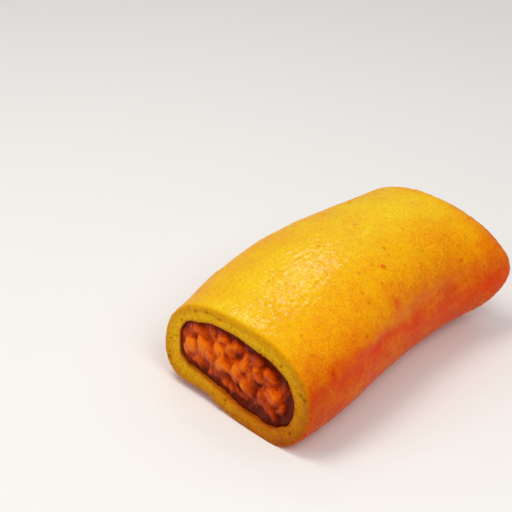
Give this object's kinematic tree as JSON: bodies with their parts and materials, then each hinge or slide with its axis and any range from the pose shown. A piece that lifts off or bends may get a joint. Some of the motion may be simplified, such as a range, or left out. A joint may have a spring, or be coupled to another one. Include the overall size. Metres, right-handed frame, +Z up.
{
  "type": "cut tamale",
  "caption": "Flattened roll of steamed corn masa round a core of meat in red chile sauce, cut across at one end and rounded shut at the other.",
  "frame": {"origin": "middle of the box's underside, on the surface that the tamale lies on", "axes": "+Y along the roll from the cut end to the closed end, +Z up, +X to the right as seen facing the cut"},
  "size_m": [0.0718, 0.1046, 0.0399],
  "materials": {
    "masa": "moist, fine-grained steamed corn dough",
    "filling": "wet shredded meat in red chile sauce"
  },
  "bodies": {
    "root": {"masa": "masa", "filling": "filling"}
  },
  "joints": []
}
